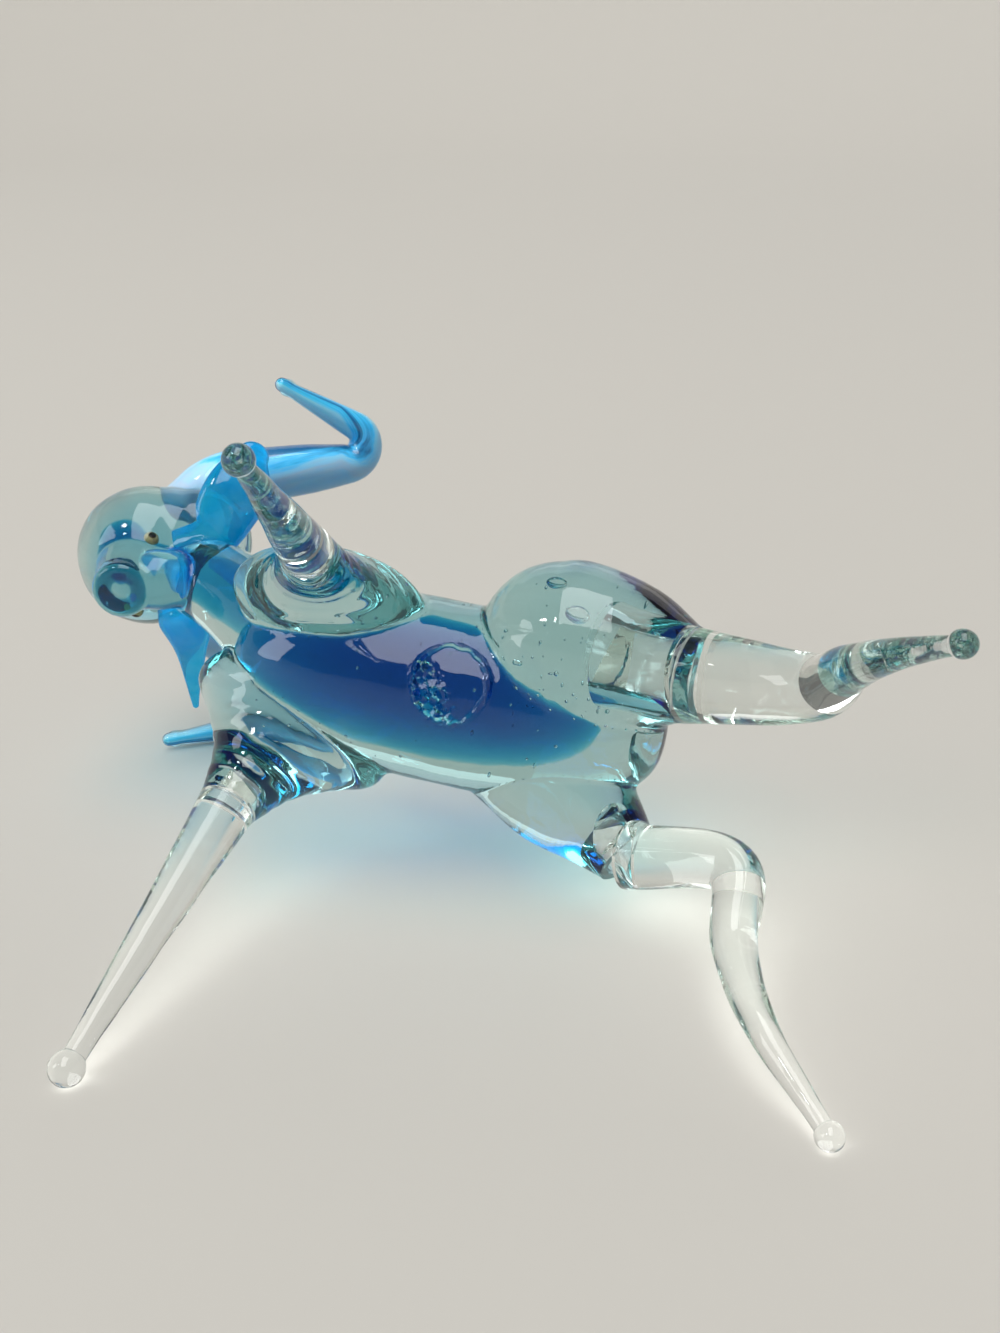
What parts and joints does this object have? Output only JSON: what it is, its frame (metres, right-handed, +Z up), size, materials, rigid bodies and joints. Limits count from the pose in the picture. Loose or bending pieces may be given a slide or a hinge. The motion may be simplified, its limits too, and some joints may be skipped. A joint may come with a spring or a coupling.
{
  "type": "glass antelope figurine",
  "caption": "Hot-worked glass antelope lying on its right side: clear body cased over a blue core, curled cyan horns, leaf ears and drawn legs ending in ball feet.",
  "frame": {"origin": "centre of the bounding box in plan, on the ground that the lying figure touches", "axes": "+Z up from the ground; -Y is the side the belly and the feet face; the head is at -X and the rump at +X"},
  "size_m": [0.163, 0.1618, 0.1051],
  "materials": {
    "clear_glass": "fire-polished clear glass with a faint aqua tint",
    "blue_glass": "transparent cobalt blue glass, cased",
    "cyan_glass": "fire-polished transparent cyan glass",
    "opal_glass": "opaque white opal cane, cased",
    "dark_glass": "glossy near-black glass",
    "broken_glass": "rough broken glass where the punty rod came off"
  },
  "bodies": {
    "root": {"body_casing": "clear_glass", "head_casing": "clear_glass", "muzzle": "clear_glass", "neck_casing": "clear_glass", "shoulder_left": "clear_glass", "shoulder_right": "clear_glass", "foreleg_left": "clear_glass", "foreleg_right": "clear_glass", "haunch_left": "clear_glass", "haunch_right": "clear_glass", "gaskin_left": "clear_glass", "gaskin_right": "clear_glass", "cannon_left": "clear_glass", "cannon_right": "clear_glass", "body_core": "blue_glass", "neck_core": "blue_glass", "head_core": "blue_glass", "nose": "blue_glass", "horn_left": "cyan_glass", "horn_right": "cyan_glass", "ear_left": "cyan_glass", "ear_right": "cyan_glass", "tail": "cyan_glass", "horn_core_left": "opal_glass", "horn_core_right": "opal_glass", "eye_left": "dark_glass", "eye_right": "dark_glass", "pontil_wad": "broken_glass"}
  },
  "joints": []
}
